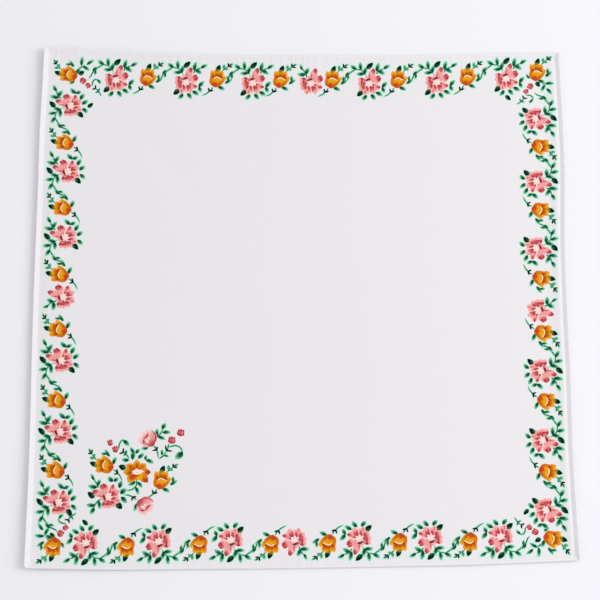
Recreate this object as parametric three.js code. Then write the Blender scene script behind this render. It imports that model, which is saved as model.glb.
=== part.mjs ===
// A printed cotton handkerchief: one thin square of cloth with a narrow rolled hem, lying on a table.
// Millimetres, +Z up. The sheet lies on the plane Z = 0, and the origin is under its middle.

import * as THREE from "three";
import { mergeVertices } from "three/addons/utils/BufferGeometryUtils.js";

// Cloth and hem
const side = 300; // finished square
const fieldThick = 1.0; // single cloth
const hemThick = 1.6; // cloth rolled over itself along the rim
const hemWide = 2.5; // rolled hem, from the rim inwards
const hemRound = 0.7; // rounding of the hem's outer turn
const rimWall = 0.6; // upright face left at the very rim
const cornerRound = 1.7; // how much of each corner is rounded in plan
const cornerEase = 0.85; // 1 makes that rounding a true arc
const curlWide = 2.9; // the rim's upward curl reaches this far in
const puffEnds = 12; // the ridge beside the hem dies away this far from the corners

// The sheet rests on four spots, and hangs just off the table between them
const restGap = 0.2;
const restSteps = 2; // field steps from the innermost rim row to the spots
const restReach = 10; // size of a spot

// Which way each corner lies, how far it is off the true square, and how far it curls up off the table
const corners = {
  backLeft: { towards: [-1, 1], x: 1.3, y: 0.8, lift: 1.5 },
  backRight: { towards: [1, 1], x: 1.3, y: -1.0, lift: 0.3 },
  frontRight: { towards: [1, -1], x: 0.6, y: 1.5, lift: 0.4 },
  frontLeft: { towards: [-1, -1], x: -0.1, y: -2.1, lift: 1.5 },
};

// Each edge: the way it faces and the corners at its ends; its bow at the middle, outwards; its lift there and
// how far in that fades out; the curl of its rim; the soft ridge of the field beside its hem, with its place in
// from the rim and its reach to either side; and the soft bulges along it, placed from -1 to 1
const edges = [
  {
    out: [0, 1],
    ends: ["backLeft", "backRight"],
    bow: -3.1,
    lift: 0.7,
    fade: 9,
    curl: 0.1,
    puff: { rise: 0.1, at: 4.3, outer: 2.2, inner: 5.2 },
    sways: [
      { at: -0.82, reach: 0.22, out: 0.7 },
      { at: -0.42, reach: 0.26, out: -0.4 },
      { at: 0.74, reach: 0.26, out: 0.6 },
    ],
  },
  {
    out: [1, 0],
    ends: ["frontRight", "backRight"],
    bow: -1.7,
    lift: 0.3,
    fade: 15,
    curl: 1.1,
    puff: { rise: 0.7, at: 4.3, outer: 2.2, inner: 5.2 },
    sways: [
      { at: 0.7, reach: 0.3, out: 1.5 },
      { at: 0.48, reach: 0.22, out: 1.1 },
      { at: 0.05, reach: 0.35, out: 0.5 },
      { at: -0.34, reach: 0.18, out: 0.5 },
      { at: -0.68, reach: 0.3, out: -0.5 },
    ],
  },
  {
    out: [0, -1],
    ends: ["frontLeft", "frontRight"],
    bow: 1.9,
    lift: 0.2,
    fade: 13,
    curl: 0.15,
    puff: { rise: 0.15, at: 4.3, outer: 2.2, inner: 5.2 },
    sways: [
      { at: -0.68, reach: 0.16, out: 0.4 },
      { at: 0.6, reach: 0.16, out: 0.3 },
    ],
  },
  {
    out: [-1, 0],
    ends: ["frontLeft", "backLeft"],
    bow: 0.6,
    lift: 0.4,
    fade: 14,
    curl: 1.5,
    puff: { rise: 0.9, at: 9.5, outer: 9, inner: 35 },
    sways: [
      { at: 0.66, reach: 0.15, out: 0.4 },
      { at: -0.62, reach: 0.42, out: -1.1 },
    ],
  },
];

// Faint ridges and troughs left in the field: place, heading of the crest in degrees, size, and rise
const ripples = [
  { x: -14, y: 104, heading: 90, long: 46, wide: 13, rise: 0.35 },
  { x: -76, y: 84, heading: -50, long: 52, wide: 16, rise: -0.3 },
  { x: 97, y: 98, heading: 92, long: 44, wide: 13, rise: -0.3 },
  { x: 114, y: 48, heading: 88, long: 62, wide: 15, rise: 0.3 },
  { x: -18, y: -62, heading: 84, long: 80, wide: 18, rise: 0.25 },
  { x: 40, y: -18, heading: 98, long: 96, wide: 20, rise: 0.25 },
];

// Rows of the mesh, measured in from the rim, and the even steps between the innermost two
const rimRows = [0, 0.3, 0.8, 1.7, hemWide, 3.3, 4.3, 6, 9, 14, 22];
const fieldSteps = 22;

const half = side / 2;
const restAt = (1 - rimRows[rimRows.length - 1] / half) * (1 - (2 * restSteps) / fieldSteps);
const { clamp, degToRad, lerp, smoothstep } = THREE.MathUtils;

// Grid lines across the sheet, from -1 to 1, close together along the rim
function gridLines() {
  const rim = rimRows.map((inset) => inset / half - 1);
  const inner = rim[rim.length - 1];
  const field = Array.from({ length: fieldSteps - 1 }, (_, i) => lerp(inner, -inner, (i + 1) / fieldSteps));
  return [...rim, ...field, ...rim.map((line) => -line).reverse()];
}

// How far in from an edge a point lies, and its place along that edge
function placeAt(edge, u, v) {
  const [outX, outY] = edge.out;
  return { inset: (1 - u * outX - v * outY) * half, along: outX === 0 ? u : v };
}

// Draws a point near a corner in, so that the corner is round in plan
function roundCorner(u, v) {
  const start = 1 - cornerRound / half;
  const pastU = Math.abs(u) - start;
  const pastV = Math.abs(v) - start;
  if (pastU <= 0 || pastV <= 0) return [u, v];
  const arc = Math.max(pastU, pastV) / Math.hypot(pastU, pastV);
  const share = lerp(1, arc, cornerEase);
  return [Math.sign(u) * (start + pastU * share), Math.sign(v) * (start + pastV * share)];
}

// How far out an edge's bow and bulges move a point, most at the edge itself
function swayOf(edge, u, v) {
  const { inset, along } = placeAt(edge, u, v);
  const share = 1 - inset / side;
  const bow = edge.bow * share * (1 - along ** 2);
  return edge.sways.reduce((sum, { at, reach, out }) => {
    return sum + out * share ** 3 * Math.exp(-(((along - at) / reach) ** 2));
  }, bow);
}

// Plan of the sheet: a four-cornered patch with bowed and swaying sides, u and v from -1 to 1
function lay(u, v) {
  let x = u * half;
  let y = v * half;
  for (const corner of Object.values(corners)) {
    const [towardsX, towardsY] = corner.towards;
    const share = ((1 + towardsX * u) * (1 + towardsY * v)) / 4;
    x += share * corner.x;
    y += share * corner.y;
  }
  for (const edge of edges) {
    const sway = swayOf(edge, u, v);
    x += sway * edge.out[0];
    y += sway * edge.out[1];
  }
  return { x, y };
}

// Lift of an edge off the table, from its two ends and its middle, fading into the field
function liftOf(edge, inset, along) {
  const [start, end] = edge.ends.map((name) => corners[name].lift);
  const here = lerp(lerp(start, end, (along + 1) / 2), edge.lift, 1 - along ** 2);
  return here * clamp(1 - inset / edge.fade, 0, 1) ** 2;
}

// Soft ridge of the field beside an edge's hem
function puffOf({ puff }, inset, along) {
  const ends = clamp(((1 - Math.abs(along)) * half) / puffEnds, 0, 1);
  const off = (inset - puff.at) / (inset < puff.at ? puff.outer : puff.inner);
  return puff.rise * ends * clamp(1 - off ** 2, 0, 1) ** 2;
}

// Gap under a sheet that is laid quite flat
function gapAt(u, v) {
  const apart = Math.hypot(Math.abs(u) - restAt, Math.abs(v) - restAt) * half;
  return restGap * clamp(apart / restReach, 0, 1);
}

// How far the cloth rises from lying flat
function heightAt(u, v) {
  const lifts = [];
  const curls = [];
  const puffs = [];
  for (const edge of edges) {
    const { inset, along } = placeAt(edge, u, v);
    lifts.push(liftOf(edge, inset, along));
    curls.push(edge.curl * clamp(1 - inset / curlWide, 0, 1));
    puffs.push(puffOf(edge, inset, along));
  }
  return Math.max(...lifts) + Math.max(...curls) + Math.max(...puffs);
}

// Soft ridges and troughs of the field
function rippleAt(x, y) {
  let rise = 0;
  for (const ripple of ripples) {
    const heading = degToRad(ripple.heading);
    const along = (x - ripple.x) * Math.cos(heading) + (y - ripple.y) * Math.sin(heading);
    const off = (y - ripple.y) * Math.cos(heading) - (x - ripple.x) * Math.sin(heading);
    rise += ripple.rise * Math.exp(-((along / (ripple.long / 2)) ** 2) - (off / (ripple.wide / 2)) ** 2);
  }
  return rise;
}

// Height that the hem's round outer turn takes off a face, at a distance from the rim
function rimRound(inset) {
  if (inset >= hemRound) return 0;
  const drop = (hemThick - rimWall) / 2;
  return drop * (1 - Math.sqrt(1 - (1 - inset / hemRound) ** 2));
}

// Thickness of the sheet: the hem, easing into the single cloth
function thickAt(inset) {
  return lerp(hemThick, fieldThick, smoothstep(inset, hemWide * 0.6, hemWide));
}

// The sheet starts as a box with a gridded top and underside, and each point is laid in its place
function makeSheet() {
  const lines = gridLines();
  const cells = lines.length - 1;
  const sheet = new THREE.BoxGeometry(2, 2, 2, cells, cells, 1);
  const points = sheet.attributes.position;
  for (let i = 0; i < points.count; i += 1) {
    const u = lines[Math.round(((points.getX(i) + 1) / 2) * cells)];
    const v = lines[Math.round(((points.getY(i) + 1) / 2) * cells)];
    const inset = half * (1 - Math.max(Math.abs(u), Math.abs(v)));
    const plan = lay(...roundCorner(u, v));
    const under = gapAt(u, v) + heightAt(u, v) + rimRound(inset);
    const over = restGap + heightAt(u, v) + thickAt(inset) - rimRound(inset) + rippleAt(plan.x, plan.y);
    points.setXYZ(i, plan.x, plan.y, points.getZ(i) > 0 ? over : under);
  }
  sheet.deleteAttribute("normal");
  sheet.deleteAttribute("uv");
  const closed = mergeVertices(sheet);
  closed.computeBoundingBox();
  const middle = closed.boundingBox.getCenter(new THREE.Vector3());
  closed.translate(-middle.x, -middle.y, 0);
  closed.computeVertexNormals();
  return closed;
}

const cotton = new THREE.MeshStandardMaterial({ color: 0xf1eff1, roughness: 0.92, metalness: 0 });

const handkerchief = new THREE.Group();
const cloth = new THREE.Mesh(makeSheet(), cotton);
cloth.name = "cloth";
handkerchief.add(cloth);

export default handkerchief;
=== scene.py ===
import math

import bmesh
import bpy
import numpy as np
from mathutils import Color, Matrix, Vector
from mathutils.geometry import delaunay_2d_cdt


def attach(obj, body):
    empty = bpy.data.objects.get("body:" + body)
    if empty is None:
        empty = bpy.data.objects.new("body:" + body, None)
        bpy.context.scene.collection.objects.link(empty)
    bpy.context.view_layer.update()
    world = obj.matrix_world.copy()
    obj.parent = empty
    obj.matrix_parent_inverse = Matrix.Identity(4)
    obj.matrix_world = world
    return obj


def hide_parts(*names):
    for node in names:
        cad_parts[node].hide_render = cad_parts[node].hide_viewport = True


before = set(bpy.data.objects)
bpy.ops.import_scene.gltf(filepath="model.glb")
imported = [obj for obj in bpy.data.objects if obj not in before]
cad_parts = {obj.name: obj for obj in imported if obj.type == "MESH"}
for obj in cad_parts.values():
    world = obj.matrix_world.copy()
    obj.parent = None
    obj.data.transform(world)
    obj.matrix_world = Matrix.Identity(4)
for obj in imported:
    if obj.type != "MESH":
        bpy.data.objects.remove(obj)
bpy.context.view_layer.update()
scene = bpy.context.scene
mm = 0.001

# Camera, standing in front of the table and looking steeply down
cameraView = {
    "at": (-0.0212, -0.3015, 1.0236),  # metres
    "turn": (16.40, -1.00, -0.285),    # degrees
    "lens": 114.0,                     # millimetres
    "sensor": 36.0,
    "nearest": 0.01,
}


def placed(name, data):
    made = bpy.data.objects.new(name, data)
    scene.collection.objects.link(made)
    return made


def makeCamera(view):
    lens = bpy.data.cameras.new("camera")
    lens.lens = view["lens"]
    lens.sensor_width = view["sensor"]
    lens.clip_start = view["nearest"]
    camera = placed("camera", lens)
    camera.location = view["at"]
    camera.rotation_euler = [math.radians(turn) for turn in view["turn"]]
    scene.camera = camera


makeCamera(cameraView)
print("camera placed")

# The cloth as it lies: millimetres, worked out on a true square and then laid
cloth = {
    "half": 150.0,     # half the finished side
    "thick": 0.34,     # single cotton
    "clear": 0.40,     # the field's underside hangs this far off the table, held up by the hem
    "lowest": 0.02,    # nothing lies lower than this, and the field no lower than the next
    "lowestField": 0.05,
    "round": 1.7,      # rounding of the corners in plan
    "corners": {       # off the true square in x and y, and curl off the table
        "backLeft": (1.3, 0.8, 1.5),
        "backRight": (1.3, -1.0, 0.3),
        "frontRight": (0.6, 1.5, 0.4),
        "frontLeft": (-0.1, -2.1, 1.5),
    },
    "bows": {"back": -3.1, "right": -1.7, "front": 1.9, "left": 0.6},  # outwards, at the middle
    "sways": [         # soft bulges of an edge: place along it from -1 to 1, reach, and how far out
        ("right", 0.70, 0.30, 1.5),
        ("right", 0.48, 0.22, 1.1),
        ("right", 0.05, 0.35, 0.5),
        ("right", -0.34, 0.18, 0.5),
        ("right", -0.68, 0.30, -0.5),
        ("left", 0.66, 0.15, 0.4),
        ("left", -0.62, 0.42, -1.1),
        ("back", -0.82, 0.22, 0.7),
        ("back", -0.42, 0.26, -0.4),
        ("back", 0.74, 0.26, 0.6),
        ("front", -0.68, 0.16, 0.4),
        ("front", 0.60, 0.16, 0.3),
    ],
    "swayFade": 3,     # how fast they fade inwards
    "lifts": {         # lift at the edge's middle, how far in it fades out, and the corners at its ends
        "back": (0.7, 9, "backLeft", "backRight"),
        "right": (0.3, 15, "frontRight", "backRight"),
        "front": (0.2, 13, "frontLeft", "frontRight"),
        "left": (0.4, 14, "frontLeft", "backLeft"),
    },
    "curls": {         # rise of the hem's rim; puff of the field beside it: height, place, reach out and in
        "back": (0.10, 0.10, 4.3, 1.4, 3.2),
        "right": (1.1, 0.70, 4.3, 1.4, 3.2),
        "front": (0.15, 0.15, 4.3, 1.4, 3.2),
        "left": (1.5, 0.90, 9.5, 5.5, 22.0),
    },
    "curlPast": 0.4,   # the rim's rise reaches this far past the hem
    "puffEnds": 12,    # the puff dies away this far from the corners
    "merge": 8,        # how sharply the rises of two edges meet at a corner
    "fieldFrom": 12.0,  # the field's points start this far in
    "fieldStep": 5.0,
    "underFrom": 13.0,  # and the underside's
    "underStep": 9.0,
    "meet": 1e-5,      # points closer than this are one
    "weld": 1e-7,      # metres, where the rims of the top and the underside meet
}

# Faint ridges and troughs of the field: x, y, heading of the crest, length, width, rise
ripples = [
    (-14, 104, 90, 46, 13, 0.35),
    (-76, 84, -50, 52, 16, -0.30),
    (97, 98, 92, 44, 13, -0.30),
    (114, 48, 88, 62, 15, 0.30),
    (-18, -62, 84, 80, 18, 0.25),
    (40, -18, 98, 96, 20, 0.25),
]

# Narrow hem, turned over twice and sewn
hem = {
    "wide": 2.5,
    "thick": 1.05,
    "turn": 0.7,       # rounding of the outer turn
    "crownAt": 1.2,    # its highest line, in from the rim
    "crownDrop": 0.05,  # share that it loses from there to the rim
    "seam": 1.9,       # seam line, in from the rim
    "groove": 0.10,    # how deep the seam pulls in
    "grooveWide": 0.3,
    "mitre": 0.25,     # depth of the fold line across each corner
    "mitreWide": 0.7,
    "mitreFrom": (0.2, 0.9),  # it starts this far in from the rim
    "easeOver": (-0.7, 0.5),  # where the hem eases into the field, past its own width
    "easeUnder": (0.0, 5.0),
    "look": (2.3, 2.8),       # where the hem's white gives way to the field's
    "pucker": {        # small uneven waves that the seam draws up
        "rise": {"back": 0.10, "right": 0.10, "front": 0.08, "left": 0.10},
        "under": 0.5,         # share of it on the underside
        "pace": 0.85,         # length of a wave, for each radian
        "drift": 2.2,         # how far the waves run early or late
        "drifts": [(1.0, 4.3, 2.3), (1.6, 11.7, 1.1)],    # weight, pace, and change from edge to edge
        "patches": [(1.0, 14.0, 3.1), (1.0, 5.9, 0.7)],   # where they are strong, in the same way
        "strength": (0.05, 1.4),
        "ends": 10,           # they die away this far from the corners
        "fade": 6.0,          # and this far from the hem
        "from": (0.3, 1.6),   # and start this far in from the rim
    },
    "gathers": [       # fine gathers drawn up by the seam: edge, place along it, spread, depth
        ("back", -0.92, 0.10, 1.0),
        ("back", -0.55, 0.16, 0.4),
        ("back", -0.04, 0.20, 1.0),
        ("back", 0.52, 0.18, 0.5),
        ("front", -0.02, 0.10, 0.7),
        ("front", -0.62, 0.20, 0.3),
        ("left", -0.90, 0.10, 0.4),
        ("right", -0.80, 0.14, 0.3),
    ],
    "gatherFade": 5.0,
    "rows": [0, 0.06, 0.2, 0.42, 0.75, 1.2, 1.6, 1.9, 2.2, 2.6, 3.0, 3.5, 4.1, 4.8, 5.8, 7.4, 10.0],
    "underRows": [0, 0.06, 0.2, 0.42, 2.6, 4.1, 7.4],
    "step": 1.35,      # spacing of points along the rim
}


def layBowed(flat, half, corners, bows):
    u, v = (flat / half).T
    across, along = (u + 1) / 2, (v + 1) / 2
    shares = {
        "frontLeft": (1 - across) * (1 - along),
        "frontRight": across * (1 - along),
        "backLeft": (1 - across) * along,
        "backRight": across * along,
    }
    laid = flat.copy()
    for name, share in shares.items():
        laid += share[:, None] * np.array(corners[name][:2])
    laid[:, 0] += (across * bows["right"] - (1 - across) * bows["left"]) * (1 - v * v)
    laid[:, 1] += (along * bows["back"] - (1 - along) * bows["front"]) * (1 - u * u)
    return laid


def smoothStep(value, low, high):
    share = np.clip((value - low) / (high - low), 0, 1)
    return share * share * (3 - 2 * share)


def edgePlaces(flat):  # for each edge: how far in from it, and where along it from -1 to 1
    x, y = flat.T
    half = cloth["half"]
    return {
        "back": (half - y, x / half),
        "right": (half - x, y / half),
        "front": (half + y, x / half),
        "left": (half + x, y / half),
    }


def swayOf(flat):
    places = edgePlaces(flat)
    moved = np.zeros_like(flat)
    for edge, at, reach, out in cloth["sways"]:
        inset, place = places[edge]
        share = 1 - inset / (2 * cloth["half"])
        sign = 1 if edge in ("back", "right") else -1
        axis = 1 if edge in ("back", "front") else 0
        moved[:, axis] += sign * out * share ** cloth["swayFade"] * np.exp(-((place - at) / reach) ** 2)
    return moved


def liftOf(flat):
    total, merge = np.zeros(len(flat)), cloth["merge"]
    for name, (inset, place) in edgePlaces(flat).items():
        middle, reach, start, end = cloth["lifts"][name]
        startLift, endLift = cloth["corners"][start][2], cloth["corners"][end][2]
        ends = startLift + (endLift - startLift) * (place + 1) / 2
        here = middle * (1 - place ** 2) + ends * place ** 2
        total += (here * np.clip(1 - inset / reach, 0, 1) ** 2) ** merge
    return total ** (1 / merge)


def rippleOf(flat):
    rise = np.zeros(len(flat))
    for x, y, heading, length, width, height in ripples:
        turn = math.radians(heading)
        dx, dy = flat[:, 0] - x, flat[:, 1] - y
        along = dx * math.cos(turn) + dy * math.sin(turn)
        off = dy * math.cos(turn) - dx * math.sin(turn)
        rise += height * np.exp(-(along / (length / 2)) ** 2 - (off / (width / 2)) ** 2)
    return rise


def curlOf(flat):  # the hem's rim stands up, and the field puffs up a little beside it
    total, puffs = np.zeros(len(flat)), np.zeros(len(flat))
    merge, curlWide = cloth["merge"], hem["wide"] + cloth["curlPast"]
    for name, (inset, place) in edgePlaces(flat).items():
        curl, puff, at, outer, inner = cloth["curls"][name]
        total += (curl * np.clip(1 - inset / curlWide, 0, 1)) ** merge
        ends = np.clip((1 - np.abs(place)) * cloth["half"] / cloth["puffEnds"], 0, 1)
        off = (inset - at) / np.where(inset < at, outer, inner)
        puffs = np.maximum(puffs, puff * ends * np.exp(-off ** 2))
    return total ** (1 / merge) + puffs


def slowWaves(run, edge, rows):
    return sum(weight * np.sin(run / pace + change * edge) for weight, pace, change in rows)


def puckerOf(flat, inset):
    pucker = hem["pucker"]
    waves = np.zeros(len(flat))
    for edge, (name, (edgeInset, place)) in enumerate(edgePlaces(flat).items()):
        run = place * cloth["half"]
        drift = pucker["drift"] * slowWaves(run, edge, pucker["drifts"])
        strength = np.clip(0.5 + 0.5 * slowWaves(run, edge, pucker["patches"]), *pucker["strength"])
        wave = np.sin(run / pucker["pace"] + drift + edge) * strength
        ends = np.clip((cloth["half"] - np.abs(run)) / pucker["ends"], 0, 1)
        fade = np.exp(-np.abs(edgeInset - hem["wide"]) / pucker["fade"])
        waves += pucker["rise"][name] * wave * ends * fade
    return waves * smoothStep(inset, *pucker["from"])


def gathersOf(flat):  # depth of the gathers that run across the back and front, and across the sides
    depth = np.zeros((len(flat), 3))
    places = edgePlaces(flat)
    for edge, at, spread, strength in hem["gathers"]:
        inset, place = places[edge]
        axis = 0 if edge in ("back", "front") else 1
        depth[:, axis] += strength * np.exp(-((place - at) / spread) ** 2 - inset / hem["gatherFade"])
    return depth


def mitreOf(flat, inset):
    apart = np.abs(np.abs(flat[:, 0]) - np.abs(flat[:, 1]))
    fold = hem["mitre"] * np.exp(-(apart / hem["mitreWide"]) ** 2)
    return fold * (inset < hem["wide"]) * smoothStep(inset, *hem["mitreFrom"])


def easeInto(inset, ease):  # from the hem, 0, to the field, 1
    return smoothStep(inset, hem["wide"] + ease[0], hem["wide"] + ease[1])


def roundCorners(flat):
    start = cloth["half"] - cloth["round"]
    past = np.clip(np.abs(flat) - start, 0, None)
    reach = np.hypot(*past.T)
    shrink = np.where(reach > 0, past.max(1) / np.maximum(reach, 1e-9), 1)
    return np.sign(flat) * (np.minimum(np.abs(flat), start) + past * shrink[:, None])


def settle(flat, over):  # the place of each point of the top or the underside, in metres
    half, lowest = cloth["half"], cloth["lowest"]
    inset = half - np.abs(flat).max(1)
    turnIn = np.sqrt(1 - np.clip(1 - inset / hem["turn"], 0, 1) ** 2)
    middle = hem["thick"] / 2
    if over:
        crown = hem["thick"] * (1 - hem["crownDrop"] * ((inset - hem["crownAt"]) / hem["crownAt"]) ** 2)
        groove = hem["groove"] * np.exp(-((inset - hem["seam"]) / hem["grooveWide"]) ** 2)
        bead = middle + (crown - middle) * turnIn
        bead -= groove + mitreOf(flat, inset)
        field = cloth["clear"] + cloth["thick"] + rippleOf(flat)
        inner = easeInto(inset, hem["easeOver"])
    else:
        bead = middle - (middle - lowest) * turnIn
        field = np.maximum(cloth["clear"] + rippleOf(flat), cloth["lowestField"])
        inner = easeInto(inset, hem["easeUnder"])
    height = bead + (field - bead) * inner + liftOf(flat) + curlOf(flat)
    height += puckerOf(flat, inset) * (1 if over else hem["pucker"]["under"] * inner)
    plan = layBowed(roundCorners(flat), half, cloth["corners"], cloth["bows"]) + swayOf(flat)
    return np.column_stack([plan, np.maximum(height, lowest)]) * mm


# Inks of the print, as seen on the white cloth
inks = {
    "gold": (226, 158, 26), "orange": (220, 122, 16), "amber": (197, 104, 12), "rust": (164, 60, 0),
    "ember": (192, 68, 22), "cream": (253, 210, 158), "olive": (128, 122, 24), "lilac": (250, 224, 222),
    "blush": (241, 173, 169), "pink": (229, 143, 142), "rose": (207, 96, 99), "crimson": (172, 50, 57),
    "maroon": (116, 38, 36), "petal": (243, 216, 206), "flush": (246, 206, 202),
    "night": (0, 14, 7), "forest": (0, 50, 27), "green": (28, 96, 64), "fern": (62, 150, 108),
    "sage": (104, 178, 142), "slate": (70, 108, 90), "mint": (168, 236, 204),
}

# Brush marks of the print: where the mark is widest, how full it is, and its points along each side
brushes = {
    "leaf": (0.48, 0.62, 6),
    "night": (0.40, 0.68, 6),
    "petal": (0.58, 0.86, 7),
    "point": (0.50, 0.80, 6),
    "stroke": (0.50, 0.70, 5),
    "stem": (0.50, 0.22, 8),
    "twig": (0.50, 0.22, 5),
    "bud": (0.42, 0.60, 7),
    "cup": (0.52, 0.30, 10),
}


def smoothPath(points, count):
    points = np.array(points, float)
    around = np.vstack([2 * points[0] - points[1], points, 2 * points[-1] - points[-2]])
    place = np.linspace(0, len(points) - 1, count)
    step = np.minimum(place.astype(int), len(points) - 2)
    t = (place - step)[:, None]
    a, b, c, d = (around[step + i] for i in range(4))
    curve = 2 * b + (c - a) * t + (2 * a - 5 * b + 4 * c - d) * t ** 2 + (3 * b - a - 3 * c + d) * t ** 3
    return 0.5 * curve


def leftOf(run):
    return np.column_stack([-run[:, 1], run[:, 0]]) / np.linalg.norm(run, axis=1)[:, None]


def brushMark(brush, path, width, start, end=None):
    belly, fullness, count = brushes[brush]
    middle = smoothPath(path, count)
    place = np.linspace(0, 1, count) ** (math.log(0.5) / math.log(belly))
    half = width / 2 * np.abs(np.sin(np.pi * place)) ** fullness
    reach = leftOf(np.gradient(middle, axis=0)) * half[:, None]
    rim = np.vstack([middle - reach, (middle + reach)[-2:0:-1]])
    return {"rim": rim, "spine": middle[[0, -1]], "inks": (start, end or start), "bleeds": False}


bleed = {"wide": 0.70, "cover": 0.75}  # how far the ink runs past a mark, and how strongly it shows there


def bled(mark, ink):  # the mark, over a soft edge of thinner ink
    run = np.roll(mark["rim"], -1, axis=0) - np.roll(mark["rim"], 1, axis=0)
    rim = mark["rim"] - leftOf(run) * bleed["wide"]
    return [dict(mark, rim=rim, inks=(ink, ink), bleeds=True), mark]


# Leaf: places as shares of its length, along it and to the left, and shares of its width
leaf = {
    "blade": [(0.0, 0.0), (0.5, 0.05), (1.0, 0.0)],
    "vein": [(0.0, 0.0), (0.40, 0.07), (0.74, 0.0)],
    "veinWide": 0.66,
    "veinInks": {"leaf": ("forest", "green"), "dark": ("night", "green"), "pale": ("fern", "fern")},
    "paler": [(0.12, -0.14), (0.66, -0.17)],  # paler half of a night leaf
    "palerWide": 0.38,
}


def within(base, tip, shares):
    run = np.subtract(tip, base)
    side = np.array([-run[1], run[0]])
    return [base + run * along + side * off for along, off in shares]


def leafMarks(base, tip, width, kind="leaf"):
    if kind == "night":
        blade = brushMark("night", [base, tip], width, "forest", "night")
        path, share, shades = within(base, tip, leaf["paler"]), leaf["palerWide"], ("slate", "forest")
    else:
        blade = brushMark("leaf", within(base, tip, leaf["blade"]), width, "fern", "sage")
        path, share, shades = within(base, tip, leaf["vein"]), leaf["veinWide"], leaf["veinInks"][kind]
    return bled(blade, "mint") + [brushMark("stroke", path, width * share, *shades)]


def leaves(rows):
    return [mark for row in rows for mark in leafMarks(*row)]


def stems(rows, width=0.85):
    marks = [brushMark("stem" if len(row) > 2 else "twig", row, width, "green", "fern") for row in rows]
    return [part for mark in marks for part in bled(mark, "mint")]


def darkTwigs(rows, width=1.05):
    return [brushMark("stem", row, width, "night") for row in rows]


def moved(marks, how):
    return [dict(mark, rim=how(mark["rim"]), spine=how(mark["spine"])) for mark in marks]


def turnBy(degrees):
    c, s = math.cos(math.radians(degrees)), math.sin(math.radians(degrees))
    return np.array([[c, s], [-s, c]])


def turned(marks, at, degrees=0.0):
    return moved(marks, lambda places: places @ turnBy(degrees) + at)


# Pale jagged eye of an open bloom
eye = {"points": 22, "at": (0.4, 0), "teeth": 7, "bite": 0.2, "start": 0.6, "lobes": 3, "swell": 0.08}


def jaggedEye(long, wide, tilt, ink):
    angle = np.linspace(0, 2 * math.pi, eye["points"], endpoint=False)
    teeth = eye["bite"] * np.cos(eye["teeth"] * angle + eye["start"])
    reach = 1 + teeth + eye["swell"] * np.cos(eye["lobes"] * angle)
    rim = np.column_stack([long / 2 * reach * np.cos(angle), wide / 2 * reach * np.sin(angle)])
    spine = np.array([[-long / 2, 0], [long / 2, 0]])
    return turned([{"rim": rim, "spine": spine, "inks": (ink, ink), "bleeds": False}], eye["at"], tilt)


# Open pink bloom, its eye at the origin: each petal's base, tip, width, and ink or inks from base to tip
pinkPetals = [
    ((-1.2, 1.0), (-0.5, 4.9), 2.8, "pink", "blush"),
    ((1.4, 1.4), (3.9, 4.9), 3.4, "pink", "blush"),
    ((-1.5, 0.8), (-6.2, 3.2), 3.6, "rose", "blush"),
    ((-1.5, 0.0), (-6.5, 0.2), 3.8, "rose", "blush"),
    ((-1.5, -0.8), (-5.6, -3.3), 3.4, "rose", "blush"),
    ((-1.0, -1.0), (-2.4, -6.5), 3.4, "pink", "blush"),
    ((0.2, -1.0), (0.1, -5.7), 3.5, "rose", "blush"),
    ((1.6, -0.9), (3.4, -6.1), 3.4, "rose", "blush"),
    ((2.0, -0.6), (6.7, -2.9), 3.8, "pink", "blush"),
    ((2.2, 0.4), (6.5, 0.3), 3.0, "blush", "flush"),
    ((1.8, 1.0), (7.6, 3.4), 3.8, "blush", "rose"),
    ((0.5, 1.4), (3.1, 8.9), 4.4, "pink", "blush"),
]
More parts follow.
